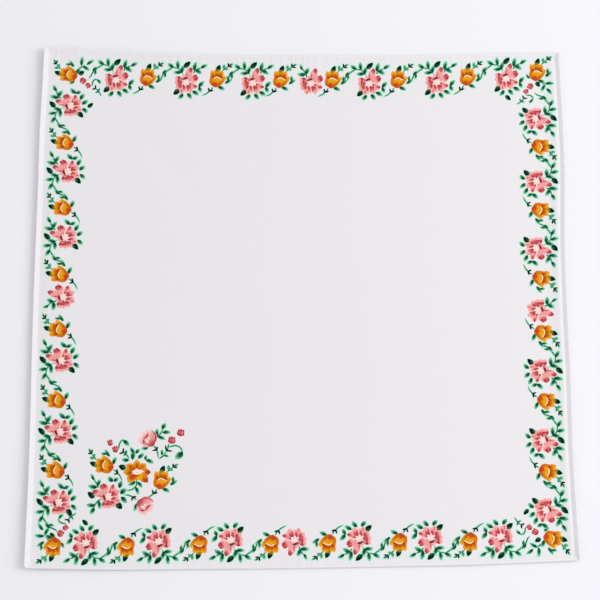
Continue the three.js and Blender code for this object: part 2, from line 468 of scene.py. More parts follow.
pinkShades = [
    ([(-4.9, 3.4), (-1.8, 1.9)], 1.7, "crimson"),
    ([(-4.9, 1.6), (-1.9, 0.9)], 1.4, "rose"),
    ([(-4.8, 0.1), (-2.1, -0.1)], 1.7, "rose", "crimson"),
    ([(-4.7, -1.4), (-1.8, -1.0)], 1.6, "rose"),
    ([(-4.1, -2.8), (-2.0, -2.2)], 1.2, "rose", "crimson"),
    ([(-4.1, 2.4), (-3.6, -2.2)], 1.3, "crimson", "rose"),
    ([(1.5, 6.9), (3.6, 9.0)], 1.8, "rose", "crimson"),
    ([(2.4, 5.7), (3.9, 8.3)], 1.5, "rose", "crimson"),
    ([(0.2, 3.2), (0.9, 6.6)], 0.9, "crimson", "pink"),
    ([(4.0, 4.1), (7.0, 4.3)], 1.6, "rose", "crimson"),
    ([(4.1, 3.1), (7.5, 3.1)], 1.7, "rose", "crimson"),
    ([(4.9, 2.1), (7.0, 2.2)], 1.2, "crimson"),
    ([(4.2, -1.7), (7.2, -2.2)], 1.7, "rose", "crimson"),
    ([(3.2, -0.6), (5.4, -1.0)], 0.9, "rose", "pink"),
    ([(-0.9, -1.2), (-0.5, -4.4)], 1.4, "crimson", "rose"),
    ([(1.5, -1.2), (1.3, -4.9)], 1.4, "crimson", "rose"),
    ([(2.4, -1.2), (2.7, -3.7)], 1.5, "crimson", "rose"),
    ([(0.4, -1.8), (0.8, -5.9)], 0.6, "blush", "petal"),
    ([(-2.0, -3.2), (-1.9, -5.9)], 1.0, "pink", "rose"),
    ([(1.8, 0.4), (4.2, 1.2)], 1.1, "petal", "blush"),
    ([(-2.1, 1.7), (-0.1, 2.6), (1.5, 3.0)], 1.4, "maroon"),
    ([(2.3, 0.1), (3.2, -1.1)], 1.1, "maroon", "rose"),
    ([(-3.3, 3.1), (-2.4, 1.3)], 0.5, "rose", "petal"),
    ([(-3.0, -0.4), (-2.6, -2.6)], 0.6, "crimson", "maroon"),
    ([(-0.8, -0.8), (-1.4, -2.4)], 0.6, "maroon", "crimson"),
    ([(0.9, -0.9), (1.2, -2.6)], 0.6, "maroon", "crimson"),
    ([(2.2, -0.3), (3.5, -1.1)], 0.6, "maroon", "crimson"),
    ([(1.9, 0.9), (3.4, 1.8)], 0.5, "crimson", "rose"),
    ([(-1.3, 0.1), (-2.6, 0.3)], 0.6, "crimson", "maroon"),
]
pinkEyes = [(4.6, 3.4, 14, "flush"), (3.3, 1.7, 14, "petal")]  # length, width, tilt in degrees, ink


def openBloom(brush, petals, shades, eyes):
    marks = [brushMark(brush, [base, tip], *rest) for base, tip, *rest in petals]
    marks += [mark for row in eyes for mark in jaggedEye(*row)]
    return marks + [brushMark("stroke", *shade) for shade in shades]


def pinkBloom():
    return openBloom("petal", pinkPetals, pinkShades, pinkEyes)


# Leaves round the pink bloom: base, tip, width, kind
pinkLeaves = [
    ((-3.2, -3.9), (-6.7, -7.1), 3.0, "night"),
    ((-1.0, -6.3), (-3.8, -9.3), 2.4),
    ((1.2, -6.1), (3.9, -9.3), 2.4),
    ((4.1, -4.9), (8.0, -7.0), 2.4),
    ((7.8, -2.5), (10.9, 1.0), 2.4),
    ((7.6, -2.3), (9.3, -5.3), 2.2),
    ((4.9, 6.9), (6.0, 12.3), 2.4),
    ((5.0, 7.9), (9.4, 5.3), 2.4),
    ((8.6, 8.5), (12.5, 10.7), 2.0, "dark"),
    ((-1.1, 8.8), (2.6, 12.4), 2.9, "night"),
]
pinkStems = [[(4.6, 5.6), (5.6, 7.8)], [(5.5, 7.6), (8.9, 8.9)]]

# Vine that runs up to a bloom from the cup before it
vineStems = [[
    (-16.2, -0.2), (-14.4, 1.6), (-13.2, 4.4), (-10.0, 7.2),
    (-7.4, 8.8), (-4.2, 8.2), (-2.1, 6.2), (-1.2, 4.0),
]]
vineLeaves = [
    ((-6.9, 8.8), (-10.6, 11.0), 2.2),
    ((-4.2, 8.2), (-4.9, 12.8), 2.2),
    ((-2.2, 6.4), (-7.2, 5.9), 2.3, "dark"),
    ((-2.5, 5.4), (-1.0, 10.3), 2.3, "dark"),
    ((-13.6, 4.7), (-10.1, 7.1), 2.0, "dark"),
    ((-12.0, 5.6), (-12.2, 2.3), 1.6),
]

# Spray on the lone bloom in the middle of each side
loneStems = [[(-2.0, 3.6), (-2.8, 6.0), (-4.8, 9.0)]]
loneLeaves = [
    ((-4.6, 8.0), (-6.0, 11.4), 1.7, "dark"),
    ((-2.6, 5.6), (-7.6, 5.7), 2.5),
    ((-2.8, 5.4), (-0.9, 9.3), 2.4),
]

# Cupped bloom seen from the side, its mouth up: brush, path, width, and ink or inks by part
cupRows = [
    ("cup", [(-0.1, -3.6), (-0.1, 4.3)], 7.4, "mid", "body"),
    ("point", [(-2.9, 0.0), (-3.0, 4.5)], 2.2, "body", "edge"),
    ("leaf", [(-0.8, 1.0), (-1.2, 4.5)], 2.6, "body", "edge"),
    ("leaf", [(1.0, 1.0), (1.2, 4.4)], 2.6, "body", "edge"),
    ("point", [(2.6, 0.0), (3.0, 4.4)], 2.2, "body", "edge"),
    ("stroke", [(-0.5, 3.2), (0.3, 5.0)], 1.7, "leafy"),
    ("leaf", [(1.8, -3.4), (3.7, -1.3), (4.4, 1.5)], 2.2, "body", "edge"),
    ("stroke", [(-2.9, -0.2), (0.2, 0.9), (3.8, -0.6)], 2.3, "shade"),
    ("stroke", [(-2.3, -0.4), (-2.4, 2.4)], 1.9, "shade", "mid"),
    ("stroke", [(-0.1, 0.2), (-0.4, 2.9)], 2.0, "shade", "mid"),
    ("stroke", [(1.7, 0.0), (1.9, 2.7)], 2.4, "shade", "mid"),
    ("stroke", [(-1.3, 0.8), (-1.6, 3.6)], 0.7, "body", "edge"),
    ("leaf", [(-2.2, -5.0), (-3.7, -2.7), (-3.5, 1.2)], 1.4, "mid", "body"),
    ("cup", [(-1.0, -5.8), (-0.3, -2.8), (0.6, -0.5)], 5.4, "mid", "edge"),
    ("leaf", [(0.0, -5.3), (2.8, -2.6), (5.8, 0.9)], 2.2, "mid", "edge"),
    ("petal", [(-0.5, -2.0), (-1.2, -5.8)], 4.0, "body", "base"),
    ("stroke", [(-2.7, -3.7), (0.4, -4.3)], 2.4, "base"),
    ("stroke", [(-1.2, -1.5), (1.6, -1.5), (3.2, -2.8)], 1.2, "edge"),
    ("stroke", [(-3.0, -3.4), (-2.6, -1.4)], 0.6, "edge"),
    ("stem", [(0.5, -5.0), (2.4, -2.8), (4.4, -0.2)], 0.5, "shade", "mid"),
    ("stroke", [(-2.6, -4.6), (-3.0, -1.2)], 0.5, "shade", "mid"),
    ("stem", [(-2.1, -0.8), (-0.6, 0.2), (1.0, -0.1), (3.3, -1.4)], 0.75, "lip"),
]
orangeInks = {
    "body": "orange", "mid": "amber", "edge": "gold", "shade": "rust",
    "base": "ember", "lip": "cream", "leafy": "olive",
}


def orangeBloom():
    marks = []
    for brush, path, width, *parts in cupRows:
        marks.append(brushMark(brush, path, width, *[orangeInks[part] for part in parts]))
    return marks


# Leaves and stems round the cup
cupSprigStems = [[(3.2, 4.0), (4.6, 5.2), (6.7, 6.6)]]
cupSprigTwigs = [[(6.5, 8.7), (6.6, 6.8), (9.0, 6.1)]]
cupSprigLeaves = [
    ((4.2, 4.9), (4.0, 7.7), 1.8, "pale"),
    ((4.4, 5.2), (6.5, 4.7), 1.5, "pale"),
    ((6.8, 6.8), (9.4, 8.1), 1.3),
    ((-0.1, 3.2), (1.6, 7.5), 2.9, "night"),
]
cupLeaves = [
    ((0.6, -5.4), (4.7, -7.1), 2.2, "dark"),
    ((4.9, -3.6), (8.9, -0.9), 2.0),
    ((6.6, -1.9), (6.6, 1.5), 1.6),
]
cupStems = [[(-2.2, -5.2), (-3.0, -7.0), (-4.0, -7.9), (-5.9, -9.5), (-8.8, -10.7)]]
cupTwigs = [[(-4.8, -5.8), (-4.1, -7.8), (-1.6, -7.4)]]


def orangeCup(withStem=True):
    marks = stems(cupSprigStems) + darkTwigs(cupSprigTwigs) + leaves(cupSprigLeaves + cupLeaves)
    if withStem:
        marks += stems(cupStems) + darkTwigs(cupTwigs)
    return marks + orangeBloom()


# Corner sprays, placed from the middle of the cloth for the side that starts there
cornerStems = [
    [(-133.0, 137.0), (-130.5, 139.5), (-127.0, 141.5)],
    [(-122.7, 129.3), (-122.4, 132.0), (-121.0, 133.6), (-118.9, 133.2)],
    [(-120.5, 128.5), (-118.5, 126.5), (-117.0, 124.0)],
]
cornerTwigs = [[(-122.7, 127.8), (-120.8, 128.4), (-120.7, 130.6)]]
cornerLeaves = [
    ((-129.3, 140.8), (-128.9, 146.3), 2.1),
    ((-128.7, 140.6), (-124.6, 138.4), 2.0),
    ((-126.4, 141.6), (-122.3, 144.5), 1.9, "dark"),
    ((-130.9, 135.9), (-127.5, 137.8), 2.7, "night"),
    ((-132.8, 132.2), (-136.0, 130.4), 1.6),
    ((-120.0, 133.5), (-117.6, 131.1), 1.7),
    ((-118.7, 126.8), (-118.0, 128.9), 1.0),
    ((-118.8, 126.9), (-120.8, 125.9), 1.0),
]
cornerBuds = [  # base, tip, width
    ((-129.8, 133.4), (-126.6, 131.6), 3.4),
    ((-126.0, 131.2), (-124.1, 128.7), 2.8),
]

# Small bud with a ragged crown, in shares of its length and width
bud = {
    "crown": [(0.34, 1.05, 0.42), (-0.34, 1.08, 0.40), (0.02, 1.16, 0.36)],  # lean, reach, width
    "crownFrom": 0.35,
    "crownPinch": 0.6,
    "glow": [(0.15, -0.18), (0.8, -0.24)],  # along it, and to the left
    "glowWide": 0.24,
}


def budMarks(base, tip, width):
    marks = [brushMark("bud", [base, tip], width, "crimson")]
    for lean, reach, share in bud["crown"]:
        path = within(base, tip, [(bud["crownFrom"], lean * bud["crownPinch"]), (reach, lean)])
        marks.append(brushMark("point", path, width * share, "rose", "crimson"))
    glow = within(base, tip, bud["glow"])
    return marks + [brushMark("stroke", glow, width * bud["glowWide"], "rose", "pink")]


def buds(rows):
    return [mark for row in rows for mark in budMarks(*row)]


# How each side of the border runs: places along it, and how far out from the cloth's middle
border = {
    "half": 137.0,
    "corners": {
        "backLeft": (1.05, -2.0), "backRight": (0.2, 0.4),
        "frontRight": (-1.4, -0.95), "frontLeft": (1.9, -2.0),
    },
    "bows": {"back": -0.6, "right": -0.2, "front": -1.5, "left": 0.4},
    "blooms": [-109.4, -70.3, -30.8, 39.5, 79.0, 118.8],
    "lone": 4.7,
    "bloomOut": 134.2,
    "cups": [-91.6, -52.5, -13.5, 17.8, 57.0, 96.8],
    "cornerCup": 136.7,
    "cupOut": 137.4,
    "slideAt": [-137, -110, -55, 0, 55, 110, 137],
    "slides": {  # each side's repeats stray along it
        "back": [0.3, 0.4, 2.5, -0.3, -1.8, -1.0, -0.7],
        "right": [0.0, 0.3, -0.4, 2.0, 2.2, 2.4, -0.5],
        "front": [0.3, 0.5, -0.3, -0.3, -0.2, -0.2, 0.1],
        "left": [-2.0, -3.1, -3.5, -1.9, -1.9, -2.8, -0.7],
    },
    "strays": {  # and out from it
        "back": [-0.3, -0.3, 0.2, -0.2, -0.8, -0.7, 0.6],
        "right": [-0.2, -0.2, -0.4, -0.2, 0.1, -0.2, 0.3],
        "front": [0.1, 0.1, -0.1, 0.0, -0.6, -0.3, -0.7],
        "left": [0.0, 0.0, 0.1, -0.1, -0.3, -0.4, -0.5],
    },
    "endLeaf": ((-0.5, -9.3), (2.6, -12.3), 2.4, "night"),  # on the last bloom of a side
    "spreads": {"back": 1.08, "right": 1.0, "front": 1.0, "left": 1.02},  # stretch across the side
    "sprays": {"back": (0.3, 0.3), "right": (-0.9, -0.4), "front": (0.3, 0.0), "left": (-0.9, 0.6)},
}


def spreadOut(marks, side):
    at, spread = np.array([0, border["bloomOut"]]), np.array([1, border["spreads"][side]])
    return moved(marks, lambda places: (places - at) * spread + at)


def cornerSpray(side):
    marks = stems(cornerStems) + darkTwigs(cornerTwigs) + leaves(cornerLeaves) + buds(cornerBuds)
    return spreadOut(turned(marks, border["sprays"][side]), side)


def borderSide(side):
    def place(along, out):
        slide = np.interp(along, border["slideAt"], border["slides"][side])
        stray = np.interp(along, border["slideAt"], border["strays"][side])
        return along + slide, out + stray

    bloom = leaves(pinkLeaves) + stems(pinkStems)
    vine = stems(vineStems) + leaves(vineLeaves)
    marks = []
    for along in border["blooms"]:
        marks += turned(vine + bloom + pinkBloom(), place(along, border["bloomOut"]))
    marks += turned(leafMarks(*border["endLeaf"]), place(border["blooms"][-1], border["bloomOut"]))
    lone = stems(loneStems) + leaves(loneLeaves) + pinkBloom()
    marks += turned(lone, place(border["lone"], border["bloomOut"]))
    for along in border["cups"]:
        marks += turned(orangeCup(), place(along, border["cupOut"]))
    marks += turned(orangeCup(withStem=False), place(border["cornerCup"], border["cupOut"]))
    return spreadOut(marks, side)


def layPrint(marks):
    lay = [border[key] for key in ("half", "corners", "bows")]
    return moved(marks, lambda places: layBowed(places, *lay))


# Bouquet in one corner: places in millimetres from the cloth's middle, moved as one by its shift
bouquet = {
    "shift": (0.5, 2.2),
    "leafScale": 1.15,
    "cups": [((-109.6, -95.5), 90), ((-77.6, -102.8), 0)],
    "pink": ((-106.1, -112.8), 90),
    "open": ((-91.1, -98.9), 0),
    "openEyes": [(6.2, 2.7, 6, "lilac")],
    "roses": [((-85.6, -80.5), 40, False), ((-86.1, -117.9), -124, True)],  # place, turn, mirrored or not
    "buds": [  # base, tip, width
        ((-105.7, -84.7), (-106.4, -81.4), 2.9),
        ((-102.7, -88.4), (-103.6, -84.9), 3.1),
        ((-72.2, -83.4), (-71.9, -79.5), 4.3),
        ((-67.4, -79.2), (-66.9, -75.4), 4.3),
    ],
}

# Open orange bloom of the bouquet: petals and shades, as for the pink one
openPetals = [
    ((-4.4, 0.2), (4.6, 0.2), 6.6, "orange"),
    ((0.0, 0.2), (0.0, 6.9), 4.4, "amber", "gold"),
    ((-0.6, 0.2), (-5.9, 4.3), 4.8, "amber", "gold"),
    ((0.8, 0.2), (5.0, 4.7), 4.8, "amber", "gold"),
    ((-1.0, 0.0), (-7.6, -0.2), 4.2, "rust", "gold"),
    ((1.2, 0.0), (7.9, -0.2), 4.0, "gold", "ember"),
    ((-0.6, -0.4), (-4.9, -5.8), 5.0, "ember", "gold"),
    ((0.8, -0.4), (6.4, -5.8), 4.6, "gold", "ember"),
    ((0.0, -0.4), (-0.3, -4.6), 4.6, "rust", "orange"),
    ((0.2, -0.4), (2.6, -4.6), 3.8, "gold"),
]
openShades = [
    ([(0.0, 1.6), (0.1, 5.4)], 1.6, "rust", "amber"),
    ([(-1.4, 1.4), (-4.6, 3.6)], 1.6, "amber", "rust"),
    ([(1.6, 1.4), (4.2, 4.0)], 1.5, "amber"),
    ([(-2.9, -0.4), (-5.8, -0.9)], 1.9, "rust", "amber"),
    ([(-1.2, -1.6), (-3.9, -4.2)], 2.6, "ember"),
    ([(-3.4, -2.0), (1.2, -2.2)], 1.4, "ember", "rust"),
    ([(4.6, -0.1), (7.4, -0.3)], 2.0, "ember", "rust"),
    ([(3.4, -3.6), (6.0, -5.4)], 1.6, "ember", "rust"),
    ([(-1.6, 1.0), (-1.2, 3.0)], 1.0, "rust", "amber"),
    ([(1.4, 1.2), (1.7, 2.8)], 0.9, "rust", "amber"),
    ([(-0.2, 0.2), (0.1, 2.0)], 1.7, "lilac", "petal"),
    ([(-0.8, 0.2), (0.9, -0.5)], 0.5, "blush"),
]

# Stems, twigs and leaves of the bouquet
bouquetStems = [
    [(-111.5, -108.0), (-113.0, -105.6), (-114.5, -103.2)],
    [(-110.0, -114.0), (-112.0, -115.0), (-113.6, -117.2), (-114.5, -119.5)],
    [(-91.0, -102.5), (-91.3, -106.5), (-94.0, -108.8), (-97.0, -109.0)],
    [(-101.5, -86.9), (-100.9, -83.6), (-99.5, -81.4), (-97.6, -81.6)],
    [(-99.4, -87.2), (-97.0, -89.3), (-95.3, -91.7)],
    [(-82.5, -84.3), (-80.8, -85.7), (-79.9, -88.0), (-79.2, -91.7)],
    [(-79.2, -91.7), (-76.5, -89.9), (-75.0, -87.5)],
    [(-81.6, -80.2), (-79.6, -79.1), (-77.6, -76.6), (-77.2, -74.4)],
    [(-90.8, -114.3), (-92.5, -113.0), (-95.0, -111.8), (-98.0, -111.5)],
    [(-73.6, -83.2), (-74.3, -86.0), (-75.4, -88.2)],
    [(-74.2, -85.4), (-70.2, -84.3), (-67.2, -85.5), (-66.0, -88.2)],
]
bouquetTwigs = [
    [(-98.7, -85.5), (-98.9, -88.0), (-101.1, -89.0)],
    [(-80.0, -84.7), (-80.4, -86.5), (-82.9, -87.1)],
    [(-90.9, -112.4), (-92.9, -112.8), (-93.7, -114.9)],
    [(-75.5, -83.9), (-74.8, -86.9), (-71.4, -87.4)],
]
bouquetLeaves = [
    ((-114.1, -103.8), (-116.1, -100.2), 1.5, "dark"),
    ((-112.3, -107.4), (-117.7, -106.8), 2.2),
    ((-112.4, -106.9), (-110.9, -103.2), 1.9),
    ((-113.9, -113.4), (-117.7, -110.2), 2.8, "night"),
    ((-113.2, -117.2), (-118.4, -117.2), 2.0),
    ((-111.8, -114.8), (-110.9, -119.5), 1.9),
    ((-113.9, -118.4), (-116.1, -122.2), 2.1),
    ((-103.8, -104.2), (-106.8, -101.7), 2.3),
    ((-103.5, -104.4), (-101.1, -102.2), 1.9),
    ((-100.4, -108.0), (-99.2, -103.6), 2.2),
    ((-99.8, -111.1), (-96.6, -108.2), 2.6),
    ((-99.6, -112.6), (-96.3, -116.0), 2.4),
    ((-102.0, -115.8), (-98.7, -119.2), 3.0, "night"),
    ((-93.5, -92.3), (-92.7, -87.0), 2.3),
    ((-92.6, -88.4), (-94.9, -85.2), 1.7, "dark"),
    ((-91.8, -88.8), (-89.7, -86.3), 1.8, "dark"),
    ((-95.3, -92.3), (-99.6, -92.0), 2.0),
    ((-90.5, -91.6), (-87.2, -88.8), 2.0),
    ((-86.7, -92.3), (-85.7, -89.6), 1.5),
    ((-86.4, -92.2), (-81.9, -94.1), 2.0),
    ((-97.0, -97.0), (-101.2, -95.6), 2.8, "night"),
    ((-91.5, -104.0), (-95.8, -106.2), 1.8),
    ((-90.8, -104.3), (-88.0, -107.6), 1.7),
    ((-91.8, -107.0), (-90.0, -111.4), 1.7, "dark"),
    ((-99.0, -81.4), (-95.6, -84.5), 2.2),
    ((-97.3, -89.2), (-96.9, -86.8), 1.3),
    ((-97.2, -89.2), (-98.9, -89.6), 1.0),
    ((-84.8, -85.0), (-88.8, -86.1), 1.9, "dark"),
    ((-80.0, -79.5), (-80.2, -74.7), 1.9),
    ((-79.9, -79.4), (-75.6, -80.9), 1.8, "dark"),
    ((-77.4, -77.2), (-72.6, -76.9), 1.9),
    ((-77.4, -75.2), (-75.4, -71.9), 2.2),
    ((-90.9, -116.0), (-92.2, -120.4), 1.8),
    ((-65.9, -87.6), (-70.1, -91.6), 3.2),
    ((-77.1, -89.8), (-77.4, -86.4), 1.4),
    ((-76.1, -90.0), (-73.6, -90.4), 1.2),
]

# Half-open rose of the bouquet, its mouth up and its long petal to the right
roseRows = [
    ("point", [(-0.6, -4.6), (-3.0, -2.0), (-4.6, 0.7)], 2.6, "pink", "flush"),
    ("leaf", [(-0.6, -3.0), (-3.9, 3.6)], 4.0, "rose", "flush"),
    ("leaf", [(0.0, -1.8), (0.4, 4.9)], 3.6, "rose", "flush"),
    ("leaf", [(0.8, -1.8), (3.0, 4.5)], 3.4, "pink", "flush"),
    ("point", [(0.6, -4.6), (3.7, -1.8), (4.7, 2.9)], 3.2, "rose", "blush"),
    ("cup", [(-0.3, -5.3), (0.3, -2.2), (0.5, 1.0)], 4.9, "crimson", "blush"),
    ("stroke", [(-2.0, 1.6), (0.3, 1.1), (2.6, 2.3)], 1.3, "rose", "crimson"),
    ("stroke", [(-3.4, -1.4), (-1.9, 1.2)], 1.1, "rose", "crimson"),
    ("stroke", [(0.6, -5.2), (1.3, -2.2)], 2.6, "crimson", "rose"),
    ("stroke", [(-1.3, -2.4), (-0.6, 0.6)], 1.3, "petal"),
    ("stroke", [(0.2, -1.2), (1.3, 0.4)], 1.1, "petal", "flush"),
    ("stem", [(1.6, -4.4), (4.6, -1.6), (4.9, 2.2)], 0.5, "crimson", "maroon"),
]


def rose(mirrored):
    flip = np.array([-1 if mirrored else 1, 1])
    return [brushMark(brush, np.array(path) * flip, *rest) for brush, path, *rest in roseRows]


def bouquetMarks():
    scale = bouquet["leafScale"]
    wider = [(base, tip, width * scale, *kind) for base, tip, width, *kind in bouquetLeaves]
    marks = stems(bouquetStems) + darkTwigs(bouquetTwigs) + leaves(wider) + buds(bouquet["buds"])
    for at, turn in bouquet["cups"]:
        marks += turned(orangeCup(), at, turn)
    marks += turned(pinkBloom(), *bouquet["pink"])
    marks += turned(openBloom("leaf", openPetals, openShades, bouquet["openEyes"]), *bouquet["open"])
    for at, turn, mirrored in bouquet["roses"]:
        marks += turned(rose(mirrored), at, turn)
    return turned(marks, bouquet["shift"])


def printMarks():
    marks = []
    for motif in (cornerSpray, borderSide):
        for quarter, side in enumerate(("back", "right", "front", "left")):
            marks += turned(motif(side), (0, 0), -90 * quarter)
    marks = layPrint(marks) + bouquetMarks()
    return sorted(marks, key=lambda mark: not mark["bleeds"])  # soft edges lie under every mark


# The sheet: one triangulation takes the rim, the hem's rows, the field and every mark of the print
def squareRing(inset):
    reach = cloth["half"] - inset
    count = round(2 * cloth["half"] / hem["step"])
    run = np.linspace(-reach, reach, count, endpoint=False)
    level = np.full(count, reach)
    corners = [(run, -level), (level, run), (-run, level), (-level, -run)]
    return np.vstack([np.column_stack(side) for side in corners])


def fieldPoints(inset, step):
    reach = cloth["half"] - inset
    line = np.linspace(-reach, reach, round(2 * reach / step))
    return np.array([(x, y) for y in line for x in line])


def triangulate(rings, field, marks):
    points = list(rings) + [field] + [mark["rim"] for mark in marks]
    starts = np.cumsum([0] + [len(group) for group in points])
    ringEdges = []
    for start, ring in zip(starts, rings):
        ringEdges += [(int(start) + i, int(start) + (i + 1) % len(ring)) for i in range(len(ring))]
    faces = [list(range(len(rings[0])))]
    for start, mark in zip(starts[len(rings) + 1:], marks):
        faces.append(list(range(int(start), int(start) + len(mark["rim"]))))
    corners = [Vector(point) for point in np.vstack(points)]
    found = delaunay_2d_cdt(corners, ringEdges, faces, 1, cloth["meet"])
    places, _, triangles, placesFrom, _, trianglesFrom = found
    flat = np.array([tuple(place) for place in places])
    owners = np.array([max(sources) - 1 for sources in trianglesFrom])  # the uppermost mark
    made = np.array([sources[0] if sources else -1 for sources in placesFrom])
    rims = np.searchsorted(starts[len(rings) + 1:], made, "right") - 1  # whose rim each point is on
    return flat, np.array(triangles), owners, rims


def inkColours(flat, triangles, owners, rims, marks):
    linear = {}
    for name, rgb in inks.items():
        linear[name] = np.array(Color([channel / 255 for channel in rgb]).from_srgb_to_scene_linear())
    printed = owners >= 0
    start, end = (np.array([m["spine"][i] for m in marks]) for i in (0, 1))
    first, last = (np.array([linear[m["inks"][i]] for m in marks]) for i in (0, 1))
    bleeds = np.array([m["bleeds"] for m in marks])
    mine = owners[printed]
    along = (end - start)[mine]
    offset = flat[triangles[printed]] - start[mine][:, None]
    place = (offset * along[:, None]).sum(2) / (along ** 2).sum(1)[:, None]
    share = smoothStep(place, 0, 1)[..., None]
    colours = np.zeros((len(triangles), 3, 4))
    colours[printed, :, :3] = first[mine][:, None] * (1 - share) + last[mine][:, None] * share
    onBleed = rims[triangles[printed]]
    faded = np.where(bleeds[onBleed] & (onBleed >= 0), 0, bleed["cover"])
    colours[printed, :, 3] = np.where(bleeds[mine][:, None], faded, 1)
    return colours


bakeRoom = {"top": 0.935, "edge": 0.006, "under": 0.05}  # shares of the bake map


def addBakeMap(mesh, faces, flat, underFlat):  # the underside is plain, so it has a narrow strip
    room, edge = bakeRoom["top"], bakeRoom["edge"]
    top, under = ((side / cloth["half"] + 1) / 2 for side in (flat, underFlat))
    places = np.vstack([top * room + [edge, 1 - edge - room], under * [room, bakeRoom["under"]] + edge])
    bakeMap = mesh.uv_layers.new(name="OFBake")
    bakeMap.uv.foreach_set("vector", places[faces.ravel()].ravel())


def makeCloth():
    marks = printMarks()
    print("print:", len(marks), "marks")
    rings = [squareRing(inset) for inset in hem["rows"]]
    field = fieldPoints(cloth["fieldFrom"], cloth["fieldStep"])
    flat, triangles, owners, rims = triangulate(rings, field, marks)
    underRings = [squareRing(inset) for inset in hem["underRows"]]
    underField = fieldPoints(cloth["underFrom"], cloth["underStep"])
    underFlat, underTriangles, _, _ = triangulate(underRings, underField, [])
    edge = settle(rings[0], True)
    middle = (edge.max(0) + edge.min(0)) / 2
    places = np.vstack([settle(flat, True), settle(underFlat, False)]) - [middle[0], middle[1], 0]
    faces = np.vstack([triangles, underTriangles[:, ::-1] + len(flat)])
    mesh = bpy.data.meshes.new("handkerchief_cloth")
    mesh.from_pydata(places.tolist(), [], faces.tolist())
    ink = mesh.color_attributes.new("ink", "FLOAT_COLOR", "CORNER")
    colours = np.zeros((len(faces), 3, 4))
    colours[:len(triangles)] = inkColours(flat, triangles, owners, rims, marks)
    ink.data.foreach_set("color", colours.ravel())
    both = np.vstack([flat, underFlat])
    hemShare = 1 - smoothStep(cloth["half"] - np.abs(both).max(1), *hem["look"])
    mesh.attributes.new("hem", "FLOAT", "POINT").data.foreach_set("value", hemShare)
    gathers = mesh.attributes.new("gathers", "FLOAT_VECTOR", "POINT")
    gathers.data.foreach_set("vector", gathersOf(both).ravel())
    addBakeMap(mesh, faces, flat, underFlat)
    shell = bmesh.new()
    shell.from_mesh(mesh)
    bmesh.ops.remove_doubles(shell, verts=shell.verts, dist=cloth["weld"])
    shell.to_mesh(mesh)
    shell.free()
    mesh.shade_smooth()
    print("cloth:", len(mesh.polygons), "triangles")
    return placed("handkerchief_cloth", mesh), middle


# Seam that holds the hem: fine white stitches, millimetres
seam = {
    "long": 1.9,
    "gap": 0.45,
    "wide": 0.30,
    "high": 0.16,
    "sink": 0.03,
    "sides": 6,
    "rings": 5,
}


def makeSeam(middle):
    bm = bmesh.new()
    bmesh.ops.create_uvsphere(bm, u_segments=seam["sides"], v_segments=seam["rings"], radius=1)
    single = np.array([vert.co for vert in bm.verts])
    faces = [[vert.index for vert in face.verts] for face in bm.faces]
    bm.free()
    reach = cloth["half"] - hem["seam"]
    count = int(2 * reach / (seam["long"] + seam["gap"]))
    line = (np.arange(count) + 0.5) / count * 2 * reach - reach
    places, joined = [], []
    for quarter in range(4):
        ends = []
        for shift in (-seam["long"] / 2, seam["long"] / 2):
            run = np.column_stack([line + shift, np.full(count, reach)])
            ends.append(settle(run @ turnBy(-90 * quarter), True) - [middle[0], middle[1], 0])
        for start, end in zip(*ends):
            along = Vector(end - start).normalized()
            side = Vector((-along.y, along.x, 0)).normalized()
            up = along.cross(side)
            at = Vector((start + end) / 2) + up * (seam["high"] / 2 - seam["sink"]) * mm
            axes = np.array([side * seam["wide"], up * seam["high"], along * seam["long"]]) / 2 * mm
            joined += [[corner + len(places) * len(single) for corner in face] for face in faces]
            places.append(single @ axes + np.array(at))
    mesh = bpy.data.meshes.new("hem_stitches")
    mesh.from_pydata(np.vstack(places).tolist(), [], joined)
    mesh.shade_smooth()
    print("seam:", len(places), "stitches")
    return placed("hem_stitches", mesh)


# Materials
def setInputs(tree, node, inputs):
    for key, value in inputs.items():
        if hasattr(value, "is_output"):
            tree.links.new(value, node.inputs[key])
        else:
            node.inputs[key].default_value = value


def addNode(tree, kind, inputs=None, **settings):
    node = tree.nodes.new(kind)
    for name, value in settings.items():
        setattr(node, name, value)
    setInputs(tree, node, inputs or {})
    return node


def maths(tree, operation, first, second=0.0, third=0.0):
    return addNode(tree, "ShaderNodeMath", {0: first, 1: second, 2: third}, operation=operation).outputs[0]


def mixed(tree, share, first, second, blend="MIX"):
    parts = {0: share, 6: first, 7: second}
    return addNode(tree, "ShaderNodeMix", parts, data_type="RGBA", blend_type=blend).outputs[2]


def stretchedNoise(tree, place, scale, detail=2.0):
    spread = addNode(tree, "ShaderNodeMapping", {"Vector": place, "Scale": scale}).outputs[0]
    noise = addNode(tree, "ShaderNodeTexNoise", {"Vector": spread, "Scale": 1.0, "Detail": detail})
    return noise.outputs[0]


def spreadOver(tree, value, low, high, toLow=0.0, toHigh=1.0):
    return addNode(tree, "ShaderNodeMapRange", {0: value, 1: low, 2: high, 3: toLow, 4: toHigh}).outputs[0]


# Plain weave: each thread passes over and under in turn, with thicker and thinner threads here and there
weave = {
    "round": 0.5,                # lower makes the threads flatter
    "crossing": 0.7,             # height of the crossings, beside that of the uneven threads
    "slubs": [(1500, 55, 1), (45, 1700, 1)],  # how often warp and weft grow thicker, per metre
}


